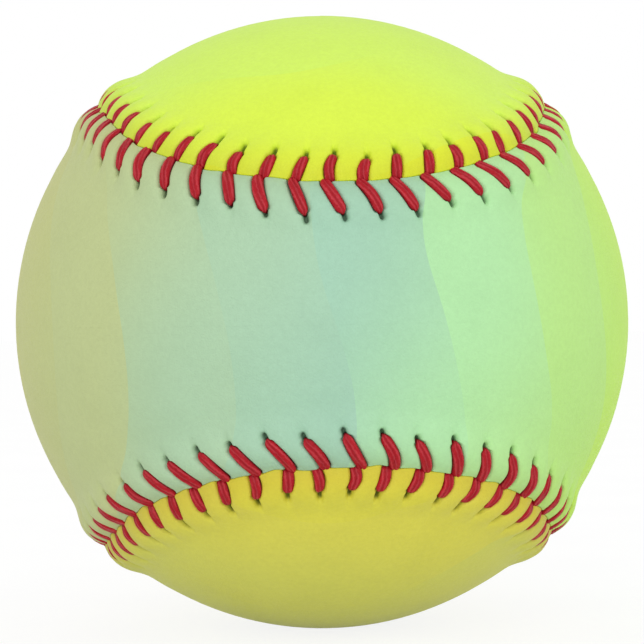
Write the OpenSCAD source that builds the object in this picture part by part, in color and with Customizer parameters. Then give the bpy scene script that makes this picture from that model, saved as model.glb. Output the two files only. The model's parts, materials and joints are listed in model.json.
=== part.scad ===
// Softball: a cork core wound with yarn and coated with cement, covered by two equal
// figure-eight leather panels that two threads sew together along one closed seam.
// The origin is the ball's centre. The waist of the front panel faces -Y, and its two lobes
// lie round -X and +X. The lobes of the rear panel lie round -Z and +Z.

/* [Ball] */
// Diameter over the leather, away from the seam
ball_d = 97; // [90:0.5:110]
// Thickness of the yarn winding round the cork core
winding_t = 10.4; // [3:0.1:25]
// Thickness of the cement coat round the winding
coat_t = 0.6; // [0.3:0.1:1.2]
// Radial play between one layer and the next
layer_gap = 0.1; // [0.05:0.01:0.2]

/* [Cover] */
// Thickness of the cover leather
leather_t = 2; // [1.6:0.1:2.6]
// Angle at the centre from the middle of a panel's waist to the seam beside it
waist_angle = 23.4; // [22.8:0.1:24.6]
// Angle at the centre from the middle of a lobe to the seam round it
lobe_angle = 41.9; // [41:0.1:43]
// Gap between the two panels' edges
seam_gap = 0.4; // [0.2:0.05:0.8]
// Radial play between the leather's flesh side, which is made of flat facets, and the coat
cover_play = 0.3; // [0.28:0.01:0.4]
// Height that the leather beside the seam stands above the ball
ridge_h = 1.4; // [1:0.1:1.8]
// Distance from the seam to where the leather lies flat again
ridge_w = 9.6; // [8.5:0.1:12]

/* [Stitching] */
// Number of V stitches round the whole seam, a multiple of 4
stitches = 112; // [88:4:112]
// Diameter of the sewing thread
thread_d = 1.25; // [1:0.05:1.35]
// Diameter of a stitch hole in the leather
hole_d = 2.1; // [2:0.05:2.3]
// Distance from the seam to a hole where the panel's waist borders the seam
waist_reach = 5.2; // [4.6:0.1:5.6]
// Distance from the seam to a hole where the panel's lobe borders the seam
lobe_reach = 4; // [3.6:0.1:4.4]
// Distance along the seam between the two threads where they pass down the gap
thread_pitch = 1.55; // [1.5:0.05:1.8]
// Play round the thread where it passes the leather
thread_play = 0.15; // [0.1:0.01:0.2]

/* [Hidden] */
$fn = 72;
// Sides of a thread's section
tube_sides = 5;
// Columns of facets along the seam, a multiple of 4, and rows of points that close in on a
// panel's spine on each of its faces
columns = 96;
inset_count = 3;

ball_r = ball_d / 2;
flesh_r = ball_r - leather_t;
coat_r = flesh_r - cover_play;
winding_r = coat_r - coat_t - layer_gap;
core_r = winding_r - winding_t - layer_gap;
thread_r = thread_d / 2;
// Notch for the two threads in the seam gap
notch_l = thread_pitch + thread_d + 2 * thread_play;
notch_w = 1.25 * thread_d + 2 * thread_play;
// Length that a cut runs past the leather
overrun = thread_d;

// Height of the leather above the ball, against the distance from the seam
ridge_shares = [[0, 0.4], [0.1, 0.84], [0.25, 1], [0.45, 0.9], [0.7, 0.4], [1, 0]];
// Room under the raised leather for the thread, out to just past the furthest hole
tunnel_h = thread_d + 2 * thread_play;
tunnel_w = waist_reach + hole_d / 2 + thread_play;

// The seam on a unit ball is an arc round a lobe of the rear panel, then a great circle to
// the crossing point, where a half turn swaps the panels. Mirrors give the other quarters.
lobe_axis = [sin(waist_angle + lobe_angle), 0, cos(waist_angle + lobe_angle)];
lobe_up = [-cos(waist_angle + lobe_angle), 0, sin(waist_angle + lobe_angle)];
crossing = [1, 1, 0] / sqrt(2);
axis_part = lobe_axis - (lobe_axis * crossing) * crossing;
link_turn = acos(sin(lobe_angle) / norm(axis_part));
link_pole = cos(link_turn) * unit(axis_part) + sin(link_turn) * cross(crossing, unit(axis_part));
joint = unit(lobe_axis - (lobe_axis * link_pole) * link_pole);
arc_turn = atan2(joint.y, joint * lobe_up);
arc_span = arc_turn * sin(lobe_angle);
link_span = acos(joint * crossing);
seam_span = 8 * (arc_span + link_span);
pitch_span = seam_span / stitches;

function unit(v) = v / norm(v);
function degrees(length) = length / ball_r * 180 / PI;
function half_turn(v) = [v.y, v.x, -v.z];
function flip_x(v) = [-v.x, v.y, v.z];
function flip_y(v) = [v.x, -v.y, v.z];

// Point of the seam, a degrees of arc along it from the middle of the front panel's waist
function eighth(a) = a < arc_span
    ? cos(lobe_angle) * lobe_axis + sin(lobe_angle)
      * (cos(a / sin(lobe_angle)) * lobe_up + sin(a / sin(lobe_angle)) * [0, 1, 0])
    : cos(a - arc_span) * joint + sin(a - arc_span) * unit(crossing - (crossing * joint) * joint);
function quarter(a) = a <= seam_span / 8 ? eighth(a) : half_turn(eighth(seam_span / 4 - a));
function half(a) = a <= seam_span / 4 ? quarter(a) : flip_x(quarter(seam_span / 2 - a));
function wrapped(a) = a - seam_span * floor(a / seam_span);
function seam(a) = wrapped(a) <= seam_span / 2 ? half(wrapped(a)) : flip_y(half(seam_span - wrapped(a)));
function ahead(a) = unit(seam(a + pitch_span / 50) - seam(a - pitch_span / 50));
function sideways(a) = cross(seam(a), ahead(a));
// Point at radius r, a distance u from the seam, which is positive towards the front panel
function place(a, u, r) = r * (cos(degrees(u)) * seam(a) + sin(degrees(u)) * unit(sideways(a)));

function height(u) = ridge_h * lookup(u / ridge_w, ridge_shares);
// The panels' holes face each other, and the point of each V lies midway to the next holes
function hole_at(k) = k * pitch_span;
function point_at(k) = (k + 1 / 2) * pitch_span;
function reach(side, a) = (waist_reach + lobe_reach) / 2
    + side * (waist_reach - lobe_reach) / 2 * cos(720 * a / seam_span);

// Rows of a panel's two faces, as [distance from the seam, radius]
outer_rows = [for (p = ridge_shares) [max(p[0] * ridge_w, seam_gap / 2), ball_r + ridge_h * p[1]]];
inner_rows = [[seam_gap / 2, flesh_r + tunnel_h], [tunnel_w, flesh_r + tunnel_h],
              [tunnel_w + 2 * thread_d, flesh_r]];

// Past the raised leather the rows close in on the panel's spine, an arc in the plane x = 0
// that ends in the middle of each lobe
spine_end = 180 - waist_angle - lobe_angle;
function spine_turn(f) = let (p = seam(f * seam_span / columns)) min(atan2(p.y, p.z), spine_end);
spine_steps = [for (f = [0:columns / 4]) spine_turn(f)];
spine_last = min([for (f = [0:columns / 4]) if (spine_steps[f] == spine_end) f]);
function spine_point(turn) = [0, sin(turn), cos(turn)];
function spine_index(j) =
    let (m = j % (columns / 2),
         f = min(m, columns / 2 - m, spine_last))
    f == 0 ? 0 : j % columns < columns / 2 ? f : spine_last + f;
spine = concat([for (f = [0:spine_last]) spine_point(spine_steps[f])],
               [for (f = [1:spine_last]) flip_y(spine_point(spine_steps[f]))]);

// Point a share of the way along the great circle from p to q
function between(p, q, share) =
    let (angle = acos(p * q))
    (sin((1 - share) * angle) * p + sin(share * angle) * q) / sin(angle);
function row_points(u, r) = [for (j = [0:columns - 1]) place(j * seam_span / columns, u, r)];
function inset_points(u, r, share) =
    [for (j = [0:columns - 1])
        r * between(place(j * seam_span / columns, u, 1), spine[spine_index(j)], share)];

function face_points(rows, count, r) =
    let (foot = rows[len(rows) - 1][0])
    concat([for (row = rows) each row_points(row[0], row[1])],
           [for (i = [1:1:count]) each inset_points(foot, r, i / (count + 1))],
           r * spine);
// Triangles of one face of the panel, whose points start at the index base
function face_triangles(row_count, base) =
    let (last = row_count - 1,
         spine_base = base + (last + 1) * columns)
    concat(
        [for (i = [0:last - 1]) for (j = [0:columns - 1])
            let (a = base + i * columns + j,
                 b = base + i * columns + (j + 1) % columns)
            each [[a, b + columns, b], [a, a + columns, b + columns]]],
        [for (j = [0:columns - 1])
            let (a = base + last * columns + j,
                 b = base + last * columns + (j + 1) % columns,
                 c = spine_base + spine_index(j + 1),
                 d = spine_base + spine_index(j))
            each c == d ? [[a, c, b]] : [[a, c, b], [a, d, c]]]);
function turned_over(faces) = [for (f = faces) [f[0], f[2], f[1]]];

// The leather before it is pierced, with its waist round +Z and its lobes round -Y and +Y
module blank_panel() {
    outer = face_points(outer_rows, inset_count, ball_r);
    inner = face_points(inner_rows, inset_count, flesh_r);
    edge = [for (j = [0:columns - 1])
        let (a = j,
             b = (j + 1) % columns,
             c = len(outer) + (j + 1) % columns,
             d = len(outer) + j)
        each [[a, b, c], [a, c, d]]];
    polyhedron(concat(outer, inner),
               concat(face_triangles(len(outer_rows) + inset_count, 0),
                      turned_over(face_triangles(len(inner_rows) + inset_count, len(outer))), edge));
}

// Turns the Z axis to the direction v, with the X axis along the seam at a
module upright(v, a) {
    x = unit(ahead(a) - (ahead(a) * v) * v);
    y = cross(v, x);
    multmatrix([[x.x, y.x, v.x, 0], [x.y, y.y, v.y, 0], [x.z, y.z, v.z, 0], [0, 0, 0, 1]])
        children();
}

module stitch_hole(k) {
    upright(place(hole_at(k), reach(1, hole_at(k)), 1), hole_at(k))
        translate([0, 0, flesh_r - overrun])
            cylinder(d = hole_d, h = leather_t + ridge_h + 2 * overrun);
}

// Notch in the panel's edge, where both threads pass down between the panels
module thread_notch(k) {
    upright(seam(point_at(k)), point_at(k))
        translate([-notch_l / 2, -notch_w / 2, flesh_r - overrun])
            cube([notch_l, notch_w, leather_t + ridge_h + 2 * overrun]);
}

// Leather panel with its stitch holes and the notches in its edge
module panel() {
    difference() {
        blank_panel();
        for (k = [0:stitches - 1]) {
            stitch_hole(k);
            thread_notch(k);
        }
    }
}

// Radii at which a thread passes under the leather and over it
under_r = coat_r + thread_play + thread_r;
crest_r = ball_r + ridge_h + thread_play;
function over_r(u) = ball_r + height(u) + thread_r + thread_play;

// One stitch of a thread, as [along the seam, off the seam, radius, share of its thickness]:
// up through its hole, over the leather to the gap, and down to the other panel's flesh side.
// The leg on the front panel reaches further along the seam than the one on the rear panel.
function stitch_path(k, side) =
    let (hole = hole_at(k),
         top = point_at(k) + side * degrees(thread_pitch / 2),
         wide = reach(side, hole),
         near = thread_d,
         outer = wide - hole_d / 2,
         along = function (u) top + (hole - top) * u / wide)
    [[hole, side * wide, under_r, 0.88],
     [hole, side * wide, ball_r + height(outer) + thread_r / 2, 0.86],
     [along(outer), side * outer, over_r(outer), 1],
     [along(near), side * near, over_r(near), 1],
     [top, side * thread_play, crest_r, 0.88],
     [top, -side * 2 * thread_play, under_r, 0.86]];

// A closed tube along the whole seam. Thread 0 starts on the front panel, thread 1 on the rear.
module thread(which) {
    path = [for (k = [0:stitches - 1])
        each stitch_path(k, (k + which) % 2 == 0 ? 1 : -1)];
    n = len(path);
    centres = [for (p = path) place(p[0], p[1], p[2])];
    ways = [for (i = [0:n - 1]) unit(unit(centres[(i + 1) % n] - centres[i])
                                     + unit(centres[i] - centres[(i + n - 1) % n]))];
    points = [for (i = [0:n - 1])
        let (seamwise = ahead(path[i][0]),
             across = unit(seamwise - (seamwise * ways[i]) * ways[i]),
             up = cross(ways[i], across))
        for (j = [0:tube_sides - 1])
            centres[i] + thread_r * path[i][3]
                * (cos(360 * j / tube_sides) * across + sin(360 * j / tube_sides) * up)];
    faces = [for (i = [0:n - 1]) for (j = [0:tube_sides - 1])
        let (a = i * tube_sides + j,
             b = i * tube_sides + (j + 1) % tube_sides,
             c = (i + 1) % n * tube_sides + (j + 1) % tube_sides,
             d = (i + 1) % n * tube_sides + j)
        each [[a, c, b], [a, d, c]]];
    polyhedron(points, faces);
}

// The waist of a panel, modelled round +Z, turns to -Y
module in_place() {
    rotate([0, -90, 90])
        children();
}

module front_cover() {
    color([0.67, 0.82, 0.7])
        in_place()
            panel();
}

module rear_cover() {
    color([0.84, 0.92, 0.32])
        in_place()
            rotate(180, [1, 1, 0])
                panel();
}

module stitching_thread_one() {
    color([0.75, 0.14, 0.2])
        in_place()
            thread(0);
}

module stitching_thread_two() {
    color([0.68, 0.12, 0.18])
        in_place()
            thread(1);
}

module core() {
    color([0.72, 0.5, 0.32])
        sphere(core_r);
}

module yarn_winding() {
    color([0.9, 0.88, 0.82])
        difference() {
            sphere(winding_r);
            sphere(core_r + layer_gap);
        }
}

module cement_coat() {
    color([0.86, 0.76, 0.5])
        difference() {
            sphere(coat_r);
            sphere(coat_r - coat_t);
        }
}

core();
yarn_winding();
cement_coat();
front_cover();
rear_cover();
stitching_thread_one();
stitching_thread_two();
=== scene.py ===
"""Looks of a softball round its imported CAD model: two grained leather covers whose seam is
puckered by its stitches, two sewing threads of two strands each, and the layers inside.

Lengths are in millimetres until a mesh is made. The frame is the CAD model's: the front panel's
waist faces -Y, its lobes lie round -X and +X, and the rear panel's lobes round -Z and +Z."""

import json
import math

import bmesh
import bpy
import numpy as np
from mathutils import Matrix, Vector

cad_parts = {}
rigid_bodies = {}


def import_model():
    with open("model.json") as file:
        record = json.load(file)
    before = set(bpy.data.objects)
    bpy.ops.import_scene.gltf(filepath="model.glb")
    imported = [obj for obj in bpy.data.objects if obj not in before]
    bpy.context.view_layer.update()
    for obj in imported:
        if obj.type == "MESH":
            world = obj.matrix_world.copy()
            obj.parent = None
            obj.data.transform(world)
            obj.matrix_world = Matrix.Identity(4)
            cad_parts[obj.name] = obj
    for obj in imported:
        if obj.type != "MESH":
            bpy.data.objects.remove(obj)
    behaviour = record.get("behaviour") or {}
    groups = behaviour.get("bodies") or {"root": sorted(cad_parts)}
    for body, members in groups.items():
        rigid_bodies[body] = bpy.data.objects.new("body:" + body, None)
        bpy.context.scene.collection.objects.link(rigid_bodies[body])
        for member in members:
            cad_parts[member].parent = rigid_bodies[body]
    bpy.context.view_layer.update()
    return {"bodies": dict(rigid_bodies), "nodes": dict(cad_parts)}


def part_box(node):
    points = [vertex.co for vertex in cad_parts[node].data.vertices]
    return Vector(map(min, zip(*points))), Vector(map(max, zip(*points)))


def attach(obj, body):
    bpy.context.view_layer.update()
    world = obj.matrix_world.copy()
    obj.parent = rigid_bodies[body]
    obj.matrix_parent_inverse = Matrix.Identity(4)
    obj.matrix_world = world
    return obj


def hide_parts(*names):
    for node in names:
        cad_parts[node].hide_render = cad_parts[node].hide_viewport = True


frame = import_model()

MM = 0.001
ROOT = next(iter(frame["bodies"]))

# Sizes

# The layers' radii come from the frame. The angles, the reach of the stitches and the leather's
# thickness are the CAD model's, apart from 0.15 degrees at the waist. The raised leather is
# 0.1 mm lower and 0.4 mm narrower than there, as in the photograph.
BALL_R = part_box("front_cover")[1].x / MM
COAT_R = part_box("cement_coat")[1].x / MM
STITCHES = 112
# Angles at the ball's centre, from the middle of a waist or a lobe to the seam beside it
WAIST_ANGLE = math.radians(23.55)
LOBE_ANGLE = math.radians(41.9)
# Distances from the seam to a stitch hole beside a waist and beside a lobe
WAIST_REACH = 5.2
LOBE_REACH = 4.0
# Height and width of the raised leather, and how far off the seam its low skirt ends
RIDGE_H = 1.32
RIDGE_W = 9.2
SKIRT_W = 17.0
LEATHER_T = 2.0
FLESH_R = BALL_R - LEATHER_T
# The two panels, as signs of the distance off the seam
FRONT, REAR = 1, -1

# The seam, on axes of its own with the front panel's waist round +Z
AXIS_TURN = WAIST_ANGLE + LOBE_ANGLE
LOBE_AXIS = np.array([math.sin(AXIS_TURN), 0, math.cos(AXIS_TURN)])
LOBE_UP = np.array([-math.cos(AXIS_TURN), 0, math.sin(AXIS_TURN)])
LOBE_SIDE = np.array([0, 1, 0])
CROSSING = np.array([1, 1, 0]) / math.sqrt(2)


def unit(v):
    """Vectors of length 1."""
    return v / np.linalg.norm(v, axis=-1, keepdims=True)


def lobe_link():
    """Where the arc round a lobe meets the great circle to the crossing point, on a unit ball."""
    part = LOBE_AXIS - (LOBE_AXIS @ CROSSING) * CROSSING
    turn = math.acos(math.sin(LOBE_ANGLE) / np.linalg.norm(part))
    pole = math.cos(turn) * unit(part) + math.sin(turn) * np.cross(CROSSING, unit(part))
    return unit(LOBE_AXIS - (LOBE_AXIS @ pole) * pole)


JOINT = lobe_link()
TO_CROSSING = unit(CROSSING - (CROSSING @ JOINT) * JOINT)
ARC_SPAN = math.atan2(JOINT[1], JOINT @ LOBE_UP) * math.sin(LOBE_ANGLE)
LINK_SPAN = math.acos(JOINT @ CROSSING)
SEAM_SPAN = 8 * (ARC_SPAN + LINK_SPAN)
PITCH = SEAM_SPAN / STITCHES * BALL_R
SPINE_END = math.pi - AXIS_TURN


def half_turn(p):
    """Swaps the two panels."""
    return p[..., [1, 0, 2]] * [1, 1, -1]


def seam(s):
    """Unit points of the seam, s mm along it from the middle of the front panel's waist."""
    a = np.mod(s / BALL_R, SEAM_SPAN)
    back = a > SEAM_SPAN / 2
    a = np.where(back, SEAM_SPAN - a, a)
    left = a > SEAM_SPAN / 4
    a = np.where(left, SEAM_SPAN / 2 - a, a)
    swapped = a > SEAM_SPAN / 8
    a = np.where(swapped, SEAM_SPAN / 4 - a, a)
    t = (a / math.sin(LOBE_ANGLE))[..., None]
    round_lobe = math.cos(LOBE_ANGLE) * LOBE_AXIS + math.sin(LOBE_ANGLE) * (
        np.cos(t) * LOBE_UP + np.sin(t) * LOBE_SIDE)
    t = (a - ARC_SPAN)[..., None]
    link = np.cos(t) * JOINT + np.sin(t) * TO_CROSSING
    p = np.where((a < ARC_SPAN)[..., None], round_lobe, link)
    p = np.where(swapped[..., None], half_turn(p), p)
    p[..., 0] *= np.where(left, -1, 1)
    p[..., 1] *= np.where(back, -1, 1)
    return p


def seam_axes(s):
    """The seam's points, its direction there, and the direction towards the front panel."""
    step = 0.05
    p = seam(s)
    along = unit(seam(s + step) - seam(s - step))
    return p, along, unit(np.cross(p, along))


def place(s, u, r):
    """Points at radius r, u mm off the seam, which is positive towards the front panel."""
    p, _, off = seam_axes(s)
    turn = (u / BALL_R)[..., None]
    return np.asarray(r)[..., None] * (np.cos(turn) * p + np.sin(turn) * off)


def to_part(p):
    """From the seam's own axes, with the front waist round +Z, to the CAD model's."""
    return np.stack([-p[..., 1], -p[..., 2], p[..., 0]], -1)


# Stitches
rng = np.random.default_rng(11)
# Along the seam, how far past a front hole each panel's hole lies, and its leg meets the seam
FACING = {FRONT: 0.0, REAR: 0.7}
MEETING = {FRONT: 2.15, REAR: 1.25}
# A leg ends this far short of the middle of its hole, which it leaves open as a slit
SHORT = 0.7
PLACES = np.arange(STITCHES) * PITCH


def smooth(value, start=0.0, end=1.0):
    """Rises from 0 at the start to 1 at the end, without a kink."""
    t = np.clip((value - start) / (end - start), 0, 1)
    return t * t * (3 - 2 * t)


def reach(side, s):
    """Distance from the seam to a stitch hole: long beside a waist, short beside a lobe."""
    mean, half = (WAIST_REACH + LOBE_REACH) / 2, (WAIST_REACH - LOBE_REACH) / 2
    return mean + side * half * np.cos(4 * math.pi * s / (SEAM_SPAN * BALL_R))


def hand(spread):
    """A small difference for each stitch, since the ball is sewn by hand."""
    return np.clip(rng.normal(0, spread, STITCHES), -2 * spread, 2 * spread)


# Of each stitch: the reach of its leg off the seam, the lead of the leg's foot along the seam,
# the shift of its other end, its bow, its width, the turn of its strands and the share of its
# slit that is open. The seam's edge waves between the stitches.
HOLES = {side: PLACES + FACING[side] for side in (FRONT, REAR)}
WIDE = {side: reach(side, HOLES[side]) - SHORT + hand(0.2) for side in (FRONT, REAR)}
LEAD = {side: MEETING[side] - FACING[side] + hand(0.25) for side in (FRONT, REAR)}
DRIFT = {side: hand(0.2) for side in (FRONT, REAR)}
BOW = {side: 0.14 + hand(0.17) for side in (FRONT, REAR)}
PLUMP = {side: 1 + hand(0.04) for side in (FRONT, REAR)}
LEAN = {side: hand(0.12) for side in (FRONT, REAR)}
OPEN = {side: 0.85 + hand(0.12) for side in (FRONT, REAR)}
SCALLOP = 0.18 + hand(0.18)
# How far off the seam its edge's waves reach
SCALLOP_W = 2.2
SLANT = {side: np.arctan2(LEAD[side].mean(), WIDE[side].mean()) for side in (FRONT, REAR)}


def at_stitch(table, s):
    """A table of stitches read between two of them, s mm along the seam from the first."""
    pos = s / PITCH
    k = np.floor(pos).astype(int)
    t = smooth(pos - k)
    return table[k % STITCHES] * (1 - t) + table[(k + 1) % STITCHES] * t


# Past its leg a mark in the leather runs on for about this share of the leg's length
TAIL = 0.3


def leg_offset(side, s, v):
    """How far a leg runs ahead of its hole along the seam, at v from the seam (0) to its end
    (1), for a hole s mm along the seam from the first."""
    lead, drift = at_stitch(LEAD[side], s), at_stitch(DRIFT[side], s)
    inside = lead * (1 - v) + drift * v + at_stitch(BOW[side], s) * np.sin(
        math.pi * np.clip(v, 0, 1))
    past = drift - lead * TAIL * (1 - np.exp(-(np.maximum(v, 1) - 1) / TAIL))
    return np.where(v < 1, inside, past)


# The ridge's crest, its dip towards the seam and the edge's lip, as distances from the seam, and
# the heights of the dip, the lip and the skirt as shares of the ridge's
CREST_W, DIP_W, LIP_W = 2.4, 1.8, 0.25
DIP, LIP, SKIRT = 0.44, 0.03, 0.14


def ridge(u):
    """Height of the leather beside the seam above the ball."""
    def fall(end):
        return 0.5 + 0.5 * np.cos(math.pi * np.clip((u - CREST_W) / (end - CREST_W), 0, 1))
    roll = DIP * np.exp(-(u / DIP_W) ** 2) + LIP * np.exp(-u / LIP_W)
    return RIDGE_H * ((1 - SKIRT) * fall(RIDGE_W) + SKIRT * fall(SKIRT_W) - roll)


def scallop(s):
    """The seam's edge waves a little from stitch to stitch, on both panels alike."""
    pos = s / PITCH - 0.5
    k = np.floor(pos).astype(int)
    return SCALLOP[k % STITCHES] * np.sin(math.pi * (pos - k)) ** 2


# Meshes of the leather
def mesh_object(name, points, faces, attributes, merge=0.0):
    """An object in the part's frame from points in the seam's axes, in millimetres."""
    mesh = bpy.data.meshes.new(name)
    mesh.from_pydata((to_part(points) * MM).tolist(), [], faces)
    for key, values in attributes.items():
        layer = mesh.attributes.new(key, "FLOAT", "POINT")
        layer.data.foreach_set("value", np.asarray(values, np.float32))
    bm = bmesh.new()
    bm.from_mesh(mesh)
    if merge:
        bmesh.ops.remove_doubles(bm, verts=bm.verts, dist=merge * MM)
    bmesh.ops.recalc_face_normals(bm, faces=bm.faces)
    bm.to_mesh(mesh)
    bm.free()
    mesh.polygons.foreach_set("use_smooth", [True] * len(mesh.polygons))
    piece = bpy.data.objects.new(name, mesh)
    bpy.context.scene.collection.objects.link(piece)
    return piece


def strip(first, second, count):
    """Quads between two closed rows of as many points, given by their first indices."""
    j = np.arange(count)
    n = (j + 1) % count
    return np.stack([first + j, first + n, second + n, second + j], -1).tolist()


def step_down(fine, coarse, count, ratio):
    """Triangles between a closed fine row and a coarse one with a ratio-th of its points."""
    faces = []
    for i in range(count // ratio):
        here, there = coarse + i, coarse + (i + 1) % (count // ratio)
        middle = ratio // 2
        for j in range(ratio):
            a = fine + i * ratio + j
            b = fine + (i * ratio + j + 1) % count
            faces.append([a, b, here if j < middle else there])
            if j == middle - 1:
                faces.append([b, there, here])
    return faces


def spine_target(p, side):
    """The point that a point of the seam's edge closes in on: the middle line of its panel."""
    q = p if side == FRONT else half_turn(p)
    turn = np.minimum(np.arctan2(np.abs(q[..., 1]), q[..., 2]), SPINE_END)
    spine = np.stack([0 * turn, np.where(q[..., 1] < 0, -1, 1) * np.sin(turn), np.cos(turn)], -1)
    return spine if side == FRONT else half_turn(spine)


def between(p, q, share):
    """Unit points a share of the way along the great circles from p to q."""
    angle = np.arccos(np.clip((p * q).sum(-1, keepdims=True), -1, 1))
    small = angle < 1e-6
    angle = np.where(small, 1, angle)
    out = (np.sin((1 - share) * angle) * p + np.sin(share * angle) * q) / np.sin(angle)
    return np.where(small, p, out)


# Columns of a stitch as distances from its leg, and rows from the seam to the hole and on: the
# cut edge as (distance from the gap, height), the leg as shares, and past it as distances
LEG_COLUMNS = np.array([0, 0.2, 0.4, 0.56, 0.7, 0.84, 1.0, 1.25, 1.65])
EDGE_ROWS = [(0.0, -1.0), (0.0, -0.3), (0.008, -0.11), (0.035, -0.035), (0.1, -0.007)]
LEG_ROWS = [0.055, 0.1, 0.16, 0.23, 0.31, 0.4, 0.5, 0.6, 0.69, 0.77, 0.84, 0.9, 0.95]
PAST_ROWS = [0, 0.2, 0.4, 0.6, 0.8, 1.0, 1.2, 1.4, 1.65, 2.0, 2.4, 2.9, 3.5, 4.2, 5.0, 6.0]
# Distance from the seam to the last fine row. From there on only each COARSE-th column goes on,
# in rows of INSETS that close in on the spine, where points closer than MERGE become one.
PAST_W = 11.8
COARSE = 9
INSETS = 14
MERGE = 0.002
# Gap between the panels, and depth, length and width of the notch in an edge where the threads
# pass down
GAP = 0.02
NOTCH, NOTCH_L, NOTCH_W = 0.22, 0.65, 0.6
# Depth and half width of the groove under a leg
GROOVE, GROOVE_W = 0.85, 0.81
# It closes over END_L before and after its leg's end. Under a front leg's head it starts to
# close HEAD_START off the seam, and would be closed HEAD_L further on, beyond the seam. It
# stays as narrow as it is at these shares of the two ways.
END_L, HEAD_START, HEAD_L = 0.3, 0.3, 0.75
END_STOP, HEAD_STOP = 0.97, 0.9
# Along the seam, how far a leg's slant still carries its marks with it
SLANT_W = 1.4
# Height of the pillow between two legs
PILLOW = 0.4
# Depth, far end and half width of the slit past a leg, which closes over the last SLIT_L
SLIT, SLIT_END, SLIT_W = 1.1, {FRONT: 1.95, REAR: 2.6}, {FRONT: 0.33, REAR: 0.37}
SLIT_L = 1.0
# Depth and half width of the crease past a leg
CREASE, CREASE_W = 0.3, 0.42
# Stretches past a leg's end in which the groove ends, the slit opens, the crease starts and ends
# and the pillow ends, and the stretch off the seam in which the pillow starts
GROOVE_ENDS = (0.05, 0.3)
SLIT_OPENS = (-0.35, 0.15)
CREASE_STARTS, CREASE_ENDS = (-0.2, 0.6), (1.2, 3.6)
PILLOW_STARTS, PILLOW_ENDS = (-0.4, 1.2), (0.5, 4.5)
# How far the painted shade and painted red bounce light beside the seam reach: a warmer,
# darker tone
SEAM_SHADE_W = 3.6
# A place well past a leg, as a share of its length, where its slant has run out
FAR = 2.5
# Height of the room under the raised leather for the threads, and how far off the seam it ends
TUNNEL_H = 1.4
TUNNEL_W = max(WAIST_REACH, LOBE_REACH) + RIDGE_H


def groove(side, u, past, off, shear):
    """How far a leg has sunk into the leather: 0 beside it, 1 under it."""
    closed = np.clip((past + END_L) / (2 * END_L), 0, END_STOP)
    narrow = GROOVE_W * np.sqrt(1 - closed ** 2)
    if side == FRONT:
        head = u / math.cos(SLANT[side]) - shear
        closed = np.clip((HEAD_START - head) / HEAD_L, 0, HEAD_STOP)
        narrow = narrow * np.sqrt(1 - closed ** 2)
    return np.exp(-(np.abs(off) / narrow) ** 6) * (1 - smooth(past, *GROOVE_ENDS))


def leather(side, u, wide, distance, slit_end):
    """Height of a panel's outer face above the ball, how open its slits are and where its
    legs lie, at a distance along the seam from the nearest leg."""
    slant = SLANT[side]
    off, shear = distance * math.cos(slant), distance * math.sin(slant)
    past = (u - wide) / math.cos(slant) - shear * np.exp(-(distance / SLANT_W) ** 2)
    leg = groove(side, u, past, off, shear)
    pillow = smooth(u, *PILLOW_STARTS) * (1 - smooth(past, *PILLOW_ENDS))
    pillow *= np.sin(math.pi * distance / PITCH) ** 2
    slit = smooth(past, *SLIT_OPENS) * (1 - smooth(past, slit_end - SLIT_L, slit_end))
    slit *= np.exp(-(off / SLIT_W[side]) ** 2)
    crease = smooth(past, *CREASE_STARTS) * (1 - smooth(past, *CREASE_ENDS))
    crease *= np.exp(-(off / CREASE_W) ** 2)
    height = ridge(u) + PILLOW * pillow - GROOVE * leg - SLIT * slit - CREASE * crease
    return height, slit, np.clip(leg, 0, 1)


def outer_rows(side, base, distance):
    """Rows of the outer face from the edge's foot to past the stitches' marks. Each holds its
    points and, for painted shade and light, how open a slit, how deep a groove and how near the
    seam is."""
    wide = at_stitch(WIDE[side], base)
    slit_end = SLIT_END[side] * at_stitch(OPEN[side], base)
    rows = []

    def add(u, v, drop=0.0):
        s = base + FACING[side] + leg_offset(side, base, v)
        notch = NOTCH * np.exp(-(distance / NOTCH_L) ** 2 - (u / NOTCH_W) ** 2)
        height, slit, leg = leather(side, u, wide, distance, slit_end)
        off = side * (u + notch) + scallop(s) * np.exp(-(u / SCALLOP_W) ** 2)
        points = place(s, off, BALL_R + height + drop)
        # The last value masks the painted shade and painted red bounce light beside the seam
        rows.append((points, slit, leg, np.exp(-(u / SEAM_SHADE_W) ** 2)))

    for inset, drop in EDGE_ROWS:
        u = np.full(len(base), GAP / 2 + inset)
        add(u, u / wide, drop)
    for share in LEG_ROWS:
        add(share * wide, np.full(len(base), share))
    for past in PAST_ROWS:
        add(wide + past, 1 + past / wide)
    last = wide + PAST_ROWS[-1]
    for share in (0.5, 1.0):
        u = last + share * (PAST_W - last)
        add(u, u / wide)
    return rows


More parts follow.
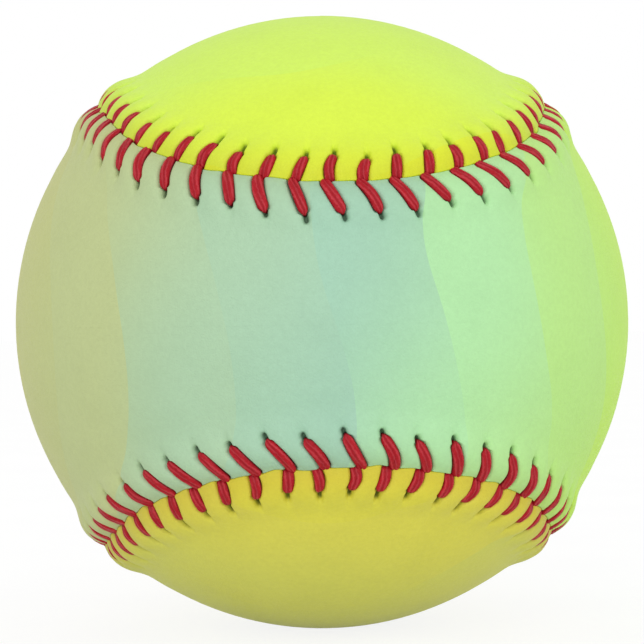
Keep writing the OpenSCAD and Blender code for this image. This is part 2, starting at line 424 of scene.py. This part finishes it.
def cover(side, name):
    """One leather panel: its puckered edge in fine rows, the rest closing in on its spine."""
    offsets = np.concatenate([LEG_COLUMNS, [PITCH / 2], PITCH - LEG_COLUMNS[:0:-1]])
    base = (PLACES[:, None] + offsets).ravel()
    distance = np.tile(np.where(offsets > PITCH / 2, offsets - PITCH, offsets), STITCHES)
    outer = outer_rows(side, base, distance)
    points = [row[0] for row in outer]
    rows, count, few = len(outer), len(base), len(base) // COARSE
    faces = []
    for i in range(rows - 1):
        faces += strip(i * count, (i + 1) * count, count)

    # The rest of the outer face
    coarse = base[::COARSE]
    s = coarse + FACING[side] + leg_offset(side, coarse, np.full(few, FAR))
    target = spine_target(seam(s), side)
    foot = unit(points[-1][::COARSE])
    points += [BALL_R * between(foot, target, i / INSETS) for i in range(1, INSETS + 1)]
    start = rows * count
    faces += step_down(start - count, start, count, COARSE)
    for i in range(INSETS - 1):
        faces += strip(start + i * few, start + (i + 1) * few, few)

    # The flesh side, from the edge's foot inwards
    flesh = start + INSETS * few
    inner = flesh + count
    points.append((FLESH_R + TUNNEL_H) * unit(points[0]))
    s = coarse + FACING[side] + at_stitch(LEAD[side], coarse)
    for u, r in ((TUNNEL_W, FLESH_R + TUNNEL_H), (TUNNEL_W + LEATHER_T, FLESH_R)):
        points.append(place(s, np.full(few, side * u), np.full(few, r)))
    foot = unit(points[-1])
    points += [FLESH_R * between(foot, target, i / INSETS) for i in range(1, INSETS + 1)]
    faces += strip(0, flesh, count)
    faces += step_down(flesh, inner, count, COARSE)
    for i in range(INSETS + 1):
        faces += strip(inner + i * few, inner + (i + 1) * few, few)

    points = np.concatenate(points)
    blank = np.zeros(len(points) - rows * count)
    attributes = {key: np.concatenate([row[i] for row in outer] + [blank])
                  for i, key in enumerate(("slit", "groove", "edge"), 1)}
    return mesh_object(name, points, faces, attributes, merge=MERGE)


# Threads

# Radius of a strand, and its distance from the middle of its leg
STRAND_R = 0.47
STRAND_APART = 0.31
# Half width of the painted shade in the valley between two strands, as a sine of the angle round
# them, and the heights on a thread, in strand radii, between which the painted shade on its
# underside ends
VALLEY_SHADE_W = 0.12
UNDERSIDE_SHADE_ENDS = (-0.25, 0.75)
# Points round a section, and the radius at which a thread passes under the leather
SECTION = 16
UNDER_R = COAT_R + 0.75
# Height of a leg's middle line above the leather, how much higher it arches, the power by which
# the arch's top moves towards the seam, and how much wider the leg is in its middle
LIFT, ARCH, ARCH_LEAN, BELLY = -0.36, 0.26, 0.8, 0.05
# Nearer the seam than this, a leg doesn't follow the leather down
LEVEL_W = 0.5
# Lengths of a leg's rounded end at its hole and of a front leg's head at the seam, with the
# angles of their rings, and the places of the rings between them
CAP, HEAD = 0.72, 0.62
CAP_TURNS = [math.radians(a) for a in (78, 64, 50, 36, 22, 8)]
HEAD_TURNS = [math.radians(a) for a in (0, 18, 36, 54, 72)]
LEG_SHARES = (0.94, 0.84, 0.74, 0.64, 0.54, 0.44, 0.34, 0.24, 0.14, 0.05)
# How they close: height before they do, drop of the tip, share of the thickness left there, and
# the powers of a cosine that the width and the spread of the strands follow
CAP_CLOSES, HEAD_CLOSES = (0.0, 0.3, 0.8, 0.5, 0.3), (0.12, 0.45, 0.75, 0.7, 0.5)
# How far off the seam a leg's even part ends, and how much higher it lies there: a front leg
# crosses over the rear one
FOOT = {FRONT: HEAD - 0.15, REAR: 0.2}
RISE, RISE_W = {FRONT: 0.2, REAR: -0.3}, 1.5
# A thread comes up through the hole, folded back under its leg's end, and dives at the seam:
# distance towards the seam, depth, width and spread of the strands
FOLDS = ((0.25, 1.8, 0.55, 0.2), (0.22, 1.25, 0.6, 0.3))
DIVE = (-0.02, 0.8, 0.5, 0.4)
# Under the leather it is narrow. It starts so far back from its leg's end, and ends so far past
# the seam.
NARROW_W, NARROW_T, NARROW_APART = 0.6, 0.8, 0.3
HOLE_BACK, SEAM_PAST = 0.1, 0.15
# Turn of the two strands round each other from one end of a leg to the other
TWIST = 0.1


def section(widths, heights, apart, twist):
    """Two strands side by side, as one closed outline for each ring."""
    theta = np.linspace(0, 2 * math.pi, SECTION, endpoint=False)
    c = STRAND_APART * apart[:, None]
    core = np.maximum(STRAND_R ** 2 - (c * np.sin(theta)) ** 2, 0)
    r = c * np.abs(np.cos(theta)) + np.sqrt(core)
    x, y = r * np.cos(theta), r * np.sin(theta)
    t = twist[:, None]
    x, y = x * np.cos(t) - y * np.sin(t), x * np.sin(t) + y * np.cos(t)
    valley_shade = np.exp(-((np.abs(np.sin(theta)) - 1) / VALLEY_SHADE_W) ** 2) * np.ones_like(r)
    return x * widths[:, None], y * heights[:, None], valley_shade


def leg_rings(k, side):
    """A stitch's rings from under its hole to the seam's gap: place along the seam, off it,
    height above the ball, width, thickness, spread of the strands and twist."""
    wide, s0, plump = WIDE[side][k], HOLES[side][k], PLUMP[side][k]
    under = UNDER_R - BALL_R
    mouth = float(ridge(np.array(wide)))
    end = s0 + DRIFT[side][k]
    rows = [(end, wide - HOLE_BACK, under, NARROW_W, NARROW_T, NARROW_APART)]
    for nearer, depth, width, apart in FOLDS:
        rows.append((end, wide - nearer, mouth - depth, width, NARROW_T, apart))

    def add(u, lift, width, thick, apart):
        v = u / wide
        s = s0 + LEAD[side][k] * (1 - v) + DRIFT[side][k] * v + BOW[side][k] * math.sin(
            math.pi * min(max(v, 0), 1))
        height = float(ridge(np.array(max(u, LEVEL_W)))) + LIFT + lift
        rows.append((s, u, height, plump * width, thick, apart))

    def close(u, turn, lift, drop, thin, width_power, apart_power):
        c = math.cos(turn)
        add(u, lift - drop * (1 - c), c ** width_power, thin + (1 - thin) * c, c ** apart_power)

    for turn in CAP_TURNS:
        close(wide - CAP * (1 - math.sin(turn)), turn, *CAP_CLOSES)
    foot = FOOT[side]
    for share in LEG_SHARES:
        u = foot + share * (wide - CAP - foot)
        lift = ARCH * math.sin(math.pi * share ** ARCH_LEAN)
        lift += RISE[side] * (1 - float(smooth(u, 0, RISE_W)))
        add(u, lift, 1 + BELLY * math.sin(math.pi * share), 1.0, 1.0)
    if side == FRONT:
        for turn in HEAD_TURNS:
            close(foot - HEAD * math.sin(turn), turn, *HEAD_CLOSES)
    tip, u, top = rows[-1][:3]
    nearer, depth, width, apart = DIVE
    rows.append((tip, u - nearer, top - depth, width, NARROW_T, apart))
    rows.append((tip, -SEAM_PAST, under, NARROW_W, NARROW_T, NARROW_APART))
    lean = LEAN[side][k]
    return [(s, side * u, h, w, t, a, lean + TWIST * i / len(rows))
            for i, (s, u, h, w, t, a) in enumerate(rows)]


def thread(which, name):
    """A closed double thread that takes turns on the two panels all round the seam."""
    rings = []
    for k in range(STITCHES):
        rings += leg_rings(k, FRONT if (k + which) % 2 == 0 else REAR)
    s, u, h, w, t, apart, twist = np.array(rings).T
    centres = place(s, u, BALL_R + h)
    ahead = unit(np.roll(centres, -1, 0) - centres)
    ways = unit(ahead + np.roll(ahead, 1, 0))
    _, along, _ = seam_axes(s)
    across = unit(along - (along * ways).sum(-1, keepdims=True) * ways)
    up = np.cross(ways, across)
    x, y, valley_shade = section(w, t, apart, twist)
    spread = x[..., None] * across[:, None] + y[..., None] * up[:, None]
    points = centres[:, None] + spread
    # Mask of the painted shade on the thread's underside and lower sides
    low = 1 - smooth((spread * unit(centres)[:, None]).sum(-1) / STRAND_R, *UNDERSIDE_SHADE_ENDS)
    n = len(rings)
    i, j = np.meshgrid(np.arange(n), np.arange(SECTION), indexing="ij")
    i2, j2 = (i + 1) % n, (j + 1) % SECTION
    faces = np.stack([i * SECTION + j, i * SECTION + j2, i2 * SECTION + j2, i2 * SECTION + j], -1)
    steps = np.linalg.norm(np.roll(centres, -1, 0) - centres, axis=-1)
    length = np.concatenate([[0], np.cumsum(steps)[:-1]])
    attributes = {"length": np.repeat(length, SECTION),
                  "round": np.tile(np.arange(SECTION) / SECTION, n),
                  "valley_shade": valley_shade.ravel(),
                  "low": low.ravel()}
    return mesh_object(name, points.reshape(-1, 3), faces.reshape(-1, 4).tolist(), attributes)


# Materials
def srgb(red, green, blue):
    """A colour written as it looks on screen, 0 to 255, for a shader."""
    def linear(c):
        c /= 255
        return c / 12.92 if c <= 0.04045 else ((c + 0.055) / 1.055) ** 2.4
    return (linear(red), linear(green), linear(blue), 1)


class Nodes:
    """Short calls for building one material."""

    def __init__(self, name):
        self.material = bpy.data.materials.new(name)
        self.material.use_nodes = True
        self.tree = self.material.node_tree
        self.shader = self.tree.nodes["Principled BSDF"]

    def add(self, kind, **settings):
        node = self.tree.nodes.new("ShaderNode" + kind)
        for key, value in settings.items():
            setattr(node, key, value)
        return node

    def link(self, source, target):
        self.tree.links.new(source, target)

    def coordinates(self):
        return self.add("TexCoord").outputs["Object"]

    def attribute(self, name):
        return self.add("Attribute", attribute_name=name).outputs["Fac"]

    def noise(self, vector, scale, detail=2.0, roughness=0.5, distortion=0.0):
        node = self.add("TexNoise")
        self.link(vector, node.inputs["Vector"])
        node.inputs["Scale"].default_value = scale
        node.inputs["Detail"].default_value = detail
        node.inputs["Roughness"].default_value = roughness
        node.inputs["Distortion"].default_value = distortion
        return node.outputs["Fac"]

    def math(self, operation, first, second=None):
        node = self.add("Math", operation=operation)
        for socket, value in zip(node.inputs, (first, second)):
            if value is None:
                continue
            if isinstance(value, (int, float)):
                socket.default_value = value
            else:
                self.link(value, socket)
        return node.outputs[0]

    def span(self, value, low, high, to_low=0.0, to_high=1.0):
        """The value's way from low to high, smoothly carried over to another range."""
        node = self.add("MapRange", interpolation_type="SMOOTHSTEP")
        self.link(value, node.inputs["Value"])
        for key, number in (("From Min", low), ("From Max", high),
                            ("To Min", to_low), ("To Max", to_high)):
            node.inputs[key].default_value = number
        return node.outputs["Result"]

    def ramp(self, value, stops):
        node = self.add("ValToRGB")
        self.link(value, node.inputs["Fac"])
        node.color_ramp.interpolation = "EASE"
        elements = node.color_ramp.elements
        while len(elements) < len(stops):
            elements.new(0.5)
        for element, (position, colour) in zip(elements, stops):
            element.position = position
            element.color = colour
        return node.outputs["Color"]

    def mix(self, factor, first, second, blend="MIX"):
        node = self.add("Mix", data_type="RGBA", blend_type=blend)
        # A Mix node has sockets for each type of value. These are the colours'.
        sockets = [node.inputs[i] for i in (0, 6, 7)]
        for socket, value in zip(sockets, (factor, first, second)):
            if isinstance(value, (int, float, tuple)):
                socket.default_value = value
            else:
                self.link(value, socket)
        return node.outputs[2]

    def bump(self, height, distance, strength=1.0, normal=None):
        """A bumped normal, where a height of 1 stands for a distance in millimetres."""
        node = self.add("Bump")
        node.inputs["Strength"].default_value = strength
        node.inputs["Distance"].default_value = distance * MM
        self.link(height, node.inputs["Height"])
        if normal is not None:
            self.link(normal, node.inputs["Normal"])
        return node.outputs["Normal"]

    def finish(self, colour, roughness, normal=None, **constants):
        self.link(colour, self.shader.inputs["Base Color"])
        if isinstance(roughness, (int, float)):
            self.shader.inputs["Roughness"].default_value = roughness
        else:
            self.link(roughness, self.shader.inputs["Roughness"])
        if normal is not None:
            self.link(normal, self.shader.inputs["Normal"])
        for key, value in constants.items():
            self.shader.inputs[key.replace("_", " ")].default_value = value
        return self.material


# Scales of the leather's noises, per metre: a mottle and larger patches of colour, and the
# heights of pores, a fine grain and soft dimples
MOTTLE, PATCHES, PORES, GRAIN, DIMPLES = 1500, 120, 2100, 5200, 260


def leather_material(name, wash, seam_shade_tint):
    """Fine-grained leather with a soft colour wash, creased and with painted shade at the
    stitches.
    """
    n = Nodes(name)
    where = n.coordinates()
    colour = wash(n, where)
    # Painted shade and painted red bounce light from the threads: warmer and darker beside the
    # seam
    colour = n.mix(n.attribute("edge"), colour, n.mix(1.0, colour, seam_shade_tint, "MULTIPLY"))
    mottle = n.span(n.noise(where, MOTTLE, detail=4, roughness=0.65), 0.3, 0.7, 0.955, 1.0)
    colour = n.mix(1.0, colour, mottle, "MULTIPLY")
    patches = n.span(n.noise(where, PATCHES, detail=3, roughness=0.6), 0.4, 0.8, 0.0, 0.04)
    shade = n.mix(patches, srgb(255, 255, 255), srgb(120, 130, 110))
    colour = n.mix(1.0, colour, shade, "MULTIPLY")
    # Painted shade in the grooves that the legs sink into
    painted_shade = n.math("MULTIPLY", n.attribute("groove"), 0.08)
    colour = n.mix(painted_shade, colour, n.mix(1.0, colour, srgb(150, 165, 110), "MULTIPLY"))
    # Painted shade in the slits past the legs: the leather turns dark grey-green there
    slit = n.span(n.attribute("slit"), 0.2, 0.8, 0.0, 0.95)
    colour = n.mix(slit, colour, n.mix(1.0, colour, srgb(132, 142, 132), "MULTIPLY"))
    pores = n.add("TexVoronoi", feature="DISTANCE_TO_EDGE")
    n.link(where, pores.inputs["Vector"])
    pores.inputs["Scale"].default_value = PORES
    grain = n.span(pores.outputs["Distance"], 0.0, 0.28)
    fine = n.noise(where, GRAIN, detail=3, roughness=0.65)
    height = n.math("ADD", n.math("MULTIPLY", grain, 0.55), n.math("MULTIPLY", fine, 0.45))
    normal = n.bump(height, 0.06, 0.55)
    normal = n.bump(n.noise(where, DIMPLES, detail=3), 0.35, 0.35, normal)
    return n.finish(colour, n.span(grain, 0, 1, 0.62, 0.5), normal, Specular_IOR_Level=0.32,
                    Coat_Weight=0.05, Coat_Roughness=0.4)


def axis(n, where, x=0.0, y=0.0, z=0.0):
    """A coordinate of the ball along a direction, from -1 to 1 at its radius."""
    node = n.add("VectorMath", operation="DOT_PRODUCT")
    n.link(where, node.inputs[0])
    scale = 1 / (BALL_R * MM * math.sqrt(x * x + y * y + z * z))
    node.inputs[1].default_value = (x * scale, y * scale, z * scale)
    return node.outputs["Value"]


def turn(n, where, towards, start):
    """The angle round the ball from one direction towards another, as shares of a half turn."""
    angle = n.math("ARCTAN2", axis(n, where, *towards), axis(n, where, *start))
    return n.math("DIVIDE", angle, math.pi)


# Waves of the borders between a wash's bands: radians per ball radius, and their height and
# place as shares of a band
WAVES, WAVE_H, WAVE_AT = 4.2, 0.32, 0.34


def waves(n, value, count, wave, share):
    """A wash's value, a share of it gathered into bands whose borders run in waves."""
    ripple = n.math("MULTIPLY", n.math("SINE", n.math("MULTIPLY", wave, WAVES)), WAVE_H)
    ripple = n.math("ADD", ripple, WAVE_AT)
    band = n.math("FLOOR", n.math("ADD", n.math("MULTIPLY", value, count), ripple))
    stepped = n.math("DIVIDE", n.math("SUBTRACT", n.math("ADD", band, 0.5), ripple), count)
    return n.math("ADD", n.math("MULTIPLY", value, 1 - share), n.math("MULTIPLY", stepped, share))


# Of each wash: the share of its ramp that a half turn round the ball passes, scale per metre and
# strength of the clouds that shift it, number of bands and the share of it that is gathered into
# them. The front wash also curves, more with the distance from the lobes' middle line.
FRONT_STRETCH, FRONT_CLOUDS, FRONT_DRIFT, FRONT_BANDS, FRONT_SHARE = 0.667, 18, 0.034, 13, 0.45
REAR_STRETCH, REAR_CLOUDS, REAR_DRIFT, REAR_BANDS, REAR_SHARE = 0.5455, 16, 0.04, 12, 0.35
FRONT_CURVE = 0.034


def front_wash(n, where):
    """Khaki, mint and green in broad wavy bands, one after another round the panel."""
    across = n.math("MULTIPLY", turn(n, where, (1, 0, -0.16), (0, -1, 0)), FRONT_STRETCH)
    height = axis(n, where, z=1.0)
    curve = n.math("MULTIPLY", n.math("MULTIPLY", height, height), FRONT_CURVE)
    drift = n.math("MULTIPLY", n.noise(where, FRONT_CLOUDS), FRONT_DRIFT)
    value = n.math("ADD", n.math("ADD", n.math("ADD", across, curve), drift), 0.5)
    value = waves(n, value, FRONT_BANDS, axis(n, where, z=1.0, x=0.3), FRONT_SHARE)
    return n.ramp(value, [(0.0, srgb(206, 203, 118)), (0.09, srgb(206, 209, 140)),
                          (0.184, srgb(202, 205, 126)), (0.344, srgb(197, 209, 148)),
                          (0.43, srgb(179, 213, 176)), (0.521, srgb(168, 212, 185)),
                          (0.598, srgb(185, 238, 175)), (0.689, srgb(194, 241, 142)),
                          (0.8, srgb(204, 248, 94)), (0.9, srgb(197, 245, 110)),
                          (1.0, srgb(184, 240, 136))])


def rear_wash(n, where):
    """Lime above, golden and olive yellow below, in broad wavy bands over the ball's back."""
    up = n.math("MULTIPLY", turn(n, where, (0.06, 0, 1), (0, 1, 0)), REAR_STRETCH)
    drift = n.math("MULTIPLY", n.noise(where, REAR_CLOUDS), REAR_DRIFT)
    value = n.math("ADD", n.math("ADD", up, drift), 0.5)
    value = waves(n, value, REAR_BANDS, axis(n, where, x=1.0, y=0.4), REAR_SHARE)
    return n.ramp(value, [(0.045, srgb(230, 225, 76)), (0.087, srgb(229, 223, 85)),
                          (0.135, srgb(221, 222, 101)), (0.247, srgb(216, 220, 106)),
                          (0.52, srgb(229, 228, 70)), (0.66, srgb(233, 244, 58)),
                          (0.793, srgb(214, 251, 94)), (0.905, srgb(219, 253, 99)),
                          (0.953, srgb(226, 252, 75)), (0.995, srgb(231, 249, 54))])


# Fibres round a thread, how fast they wind round it, in radians per millimetre, and how far
# they stray. Scales of the noises that make them stray and that fleck them, per metre.
FIBRES, FIBRE_LAY, FIBRE_STRAY = 6, 1.5, 4.0
STRAY, FLECK = 2400, 3600


def thread_material(name, colour, dark):
    """Waxed crimson thread with fine fibres laid along its two strands, with a painted highlight
    on its lighter fibres and painted shade between the strands and underneath.
    """
    n = Nodes(name)
    where = n.coordinates()
    around = n.math("MULTIPLY", n.attribute("round"), 2 * math.pi * FIBRES)
    lay = n.math("ADD", around, n.math("MULTIPLY", n.attribute("length"), FIBRE_LAY))
    stray = n.math("MULTIPLY", n.noise(where, STRAY), FIBRE_STRAY)
    fibres = n.span(n.math("SINE", n.math("ADD", lay, stray)), -1, 1)
    fleck = n.noise(where, FLECK, detail=3, roughness=0.6)
    base = n.mix(n.span(fleck, 0.3, 0.75, 0.0, 0.5), colour, dark)
    # Lighter pink fibre stripes: partly the fibres' own tone, partly a painted highlight along
    # the strands
    base = n.mix(n.span(fibres, 0.5, 1.0, 0.0, 0.36), base, srgb(224, 84, 94))
    # Painted shade in the valley between the strands and on the thread's underside
    painted_shade = n.math("MAXIMUM", n.math("MULTIPLY", n.attribute("valley_shade"), 0.25),
                  n.math("MULTIPLY", n.attribute("low"), 0.8))
    base = n.mix(painted_shade, base, srgb(104, 5, 20))
    normal = n.bump(fibres, 0.05, 0.7)
    normal = n.bump(fleck, 0.08, 0.4, normal)
    return n.finish(base, n.span(fleck, 0.3, 0.7, 0.36, 0.52), normal, Specular_IOR_Level=0.17)


# Scales per metre of cork granules and brush strokes, and radians of yarn turns per ball radius
GRANULES, STROKES, TURNS = 520, 60, 210


def cork_material():
    """Pressed granules of cork and rubber."""
    n = Nodes("pressed_cork")
    where = n.coordinates()
    cells = n.add("TexVoronoi", feature="F1")
    n.link(where, cells.inputs["Vector"])
    cells.inputs["Scale"].default_value = GRANULES
    granule = n.add("SeparateColor")
    n.link(cells.outputs["Color"], granule.inputs["Color"])
    colour = n.ramp(granule.outputs["Red"], [(0.0, srgb(112, 74, 44)), (0.4, srgb(158, 112, 70)),
                                             (0.8, srgb(190, 144, 96)), (1.0, srgb(70, 48, 36))])
    normal = n.bump(cells.outputs["Distance"], 0.4, 0.8)
    return n.finish(colour, 0.85, normal)


def yarn_material():
    """Turns of off-white yarn in crossing layers."""
    n = Nodes("wound_yarn")
    where = n.coordinates()
    turns = []
    for direction in ((0.3, 1, 0.2), (1, -0.35, 0.4)):
        lines = n.math("SINE", n.math("MULTIPLY", axis(n, where, *direction), TURNS))
        turns.append(n.span(lines, -1, 1))
    layer = n.span(n.noise(where, 30), 0.46, 0.54)
    height = n.mix(layer, turns[0], turns[1])
    colour = n.mix(n.span(turns[0], 0, 1, 0.0, 0.5), srgb(226, 220, 204), srgb(196, 188, 168))
    normal = n.bump(height, 0.5, 0.8)
    return n.finish(colour, 0.9, normal, Sheen_Weight=0.2)


def cement_material():
    """Dried latex cement, brushed on in uneven strokes."""
    n = Nodes("latex_cement")
    where = n.coordinates()
    strokes = n.noise(where, STROKES, detail=4, roughness=0.6, distortion=1.5)
    colour = n.mix(n.span(strokes, 0.3, 0.7), srgb(214, 190, 130), srgb(232, 212, 158))
    return n.finish(colour, n.span(strokes, 0.3, 0.7, 0.35, 0.6), n.bump(strokes, 0.4, 0.5))


# Pieces
def dress(piece, material):
    """Gives a piece one material."""
    piece.data.materials.clear()
    piece.data.materials.append(material)


# The last colour of each panel tints the painted shade and painted red bounce light beside its
# seam
SKINS = (
    ("front_leather_panel", "front_cover", "front_leather", FRONT, front_wash, (252, 248, 242)),
    ("rear_leather_panel", "rear_cover", "rear_leather", REAR, rear_wash, (244, 232, 204)))
for name, node, slot, side, wash, seam_shade_tint in SKINS:
    panel = cover(side, name)
    dress(panel, leather_material(name + "_leather", wash, srgb(*seam_shade_tint)))
    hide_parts(node)
    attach(panel, ROOT)

THREADS = (
    ("sewing_thread_one", "stitching_thread_one", "thread_one", 0, (186, 24, 38), (152, 12, 27)),
    ("sewing_thread_two", "stitching_thread_two", "thread_two", 1, (182, 22, 36), (147, 11, 25)))
for name, node, slot, which, light, dark in THREADS:
    strand = thread(which, name)
    dress(strand, thread_material(name + "_fibre", srgb(*light), srgb(*dark)))
    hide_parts(node)
    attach(strand, ROOT)

for node, material in (("core", cork_material()), ("yarn_winding", yarn_material()),
                       ("cement_coat", cement_material())):
    dress(frame["nodes"][node], material)


# Floor, light and camera

# Half width of the floor in metres. Seen directly, the floor glows by itself, and a share of
# what its own colour would show is added.
FLOOR_HALF = 3.0
GLOW, SHADOW = 0.86, 0.2
# The sky's strength as a light, and as seen directly or in a reflection
SKY_LIGHT, SKY_SEEN = 0.74, 1.0
# Lamps: place and width in metres, and power in watts
LAMPS = {"key": ((-0.3, -1.05, 0.24), 0.9, 3.15), "fill": ((0.75, -0.75, 0.12), 0.8, 1.4)}
# The camera's distance in ball radii, and the ball's radius and the picture's width in pixels
CAMERA_DISTANCE = 6.35
BALL_PX, PICTURE_PX = 306.3, 644
# The ball's turn, as seen from straight in front of the waist, about an axis given as shares to
# the right, up and towards the camera
BALL_TURN, BALL_TURN_AXIS = math.radians(3.75), Vector((0.115, 0.966, 0.235))
# Width of the camera's sensor
SENSOR = 36.0


def seen_rays(tree):
    """1 for what the camera sees, directly or in a reflection, and 0 for what only lights."""
    path = tree.nodes.new("ShaderNodeLightPath")
    seen = path.outputs["Is Camera Ray"]
    for kind in ("Is Glossy Ray", "Is Transmission Ray"):
        either = tree.nodes.new("ShaderNodeMath")
        either.operation = "MAXIMUM"
        tree.links.new(seen, either.inputs[0])
        tree.links.new(path.outputs[kind], either.inputs[1])
        seen = either.outputs[0]
    return seen


def white_to_camera(n, colour):
    """Shows a floor as white to the camera and in reflections, apart from a faint shadow."""
    glow, dim = n.add("Emission"), n.add("BsdfDiffuse")
    glow.inputs["Color"].default_value = (GLOW, GLOW, GLOW, 1)
    glow.inputs["Strength"].default_value = 1.0
    n.link(n.mix(1.0, colour, (SHADOW, SHADOW, SHADOW, 1), "MULTIPLY"), dim.inputs["Color"])
    both, blend = n.add("AddShader"), n.add("MixShader")
    n.link(glow.outputs[0], both.inputs[0])
    n.link(dim.outputs[0], both.inputs[1])
    n.link(seen_rays(n.tree), blend.inputs[0])
    n.link(n.shader.outputs[0], blend.inputs[1])
    n.link(both.outputs[0], blend.inputs[2])
    n.link(blend.outputs[0], n.tree.nodes["Material Output"].inputs["Surface"])


def floor():
    """A plain pale floor under the ball."""
    mesh = bpy.data.meshes.new("floor")
    half, z = FLOOR_HALF, -BALL_R * MM
    mesh.from_pydata([(-half, -half, z), (half, -half, z), (half, half, z), (-half, half, z)], [],
                     [(0, 1, 2, 3)])
    plane = bpy.data.objects.new("floor", mesh)
    bpy.context.scene.collection.objects.link(plane)
    n = Nodes("pale_floor")
    cloud = n.span(n.noise(n.coordinates(), 40), 0.3, 0.7)
    tint = n.mix(cloud, srgb(238, 238, 238), srgb(244, 244, 243))
    dress(plane, n.finish(tint, 0.9))
    white_to_camera(n, tint)


def world():
    """Even light all round, white to the camera and in reflections."""
    sky = bpy.data.worlds.new("studio")
    bpy.context.scene.world = sky
    sky.use_nodes = True
    tree = sky.node_tree
    strength = tree.nodes.new("ShaderNodeMix")
    strength.data_type = "FLOAT"
    tree.links.new(seen_rays(tree), strength.inputs["Factor"])
    strength.inputs["A"].default_value = SKY_LIGHT
    strength.inputs["B"].default_value = SKY_SEEN
    back = tree.nodes["Background"]
    back.inputs["Color"].default_value = (1, 1, 1, 1)
    tree.links.new(strength.outputs[0], back.inputs["Strength"])


def lamp(name, place_at, size, power):
    """A round soft lamp that points at the ball."""
    data = bpy.data.lights.new(name, "AREA")
    data.shape = "DISK"
    data.size = size
    data.energy = power
    light = bpy.data.objects.new(name, data)
    light.location = place_at
    light.rotation_euler = (-Vector(place_at)).to_track_quat("-Z", "Y").to_euler()
    bpy.context.scene.collection.objects.link(light)


def camera():
    """Stands where the photograph was taken: before the waist, a little left of its middle."""
    distance = CAMERA_DISTANCE * BALL_R * MM
    to_ball = Matrix.Rotation(BALL_TURN, 3, BALL_TURN_AXIS).transposed()
    # Up in the picture and towards the camera are the part's +Z and -Y
    ways = [to_ball @ Vector(way) for way in ((0, 0, 1), (0, 1, 0))]
    back, up = [Vector((way.x, -way.z, way.y)) for way in ways]
    data = bpy.data.cameras.new("camera")
    data.sensor_width = SENSOR
    data.lens = BALL_PX * math.sqrt(CAMERA_DISTANCE ** 2 - 1) * SENSOR / PICTURE_PX
    eye = bpy.data.objects.new("camera", data)
    axes = Matrix((up.cross(back), up, back)).transposed()
    eye.matrix_world = Matrix.Translation(back * distance) @ axes.to_4x4()
    bpy.context.scene.collection.objects.link(eye)
    bpy.context.scene.camera = eye


floor()
world()
for lamp_name, (where, width, power) in LAMPS.items():
    lamp(lamp_name, where, width, power)
camera()
bpy.context.scene.view_settings.view_transform = "Standard"
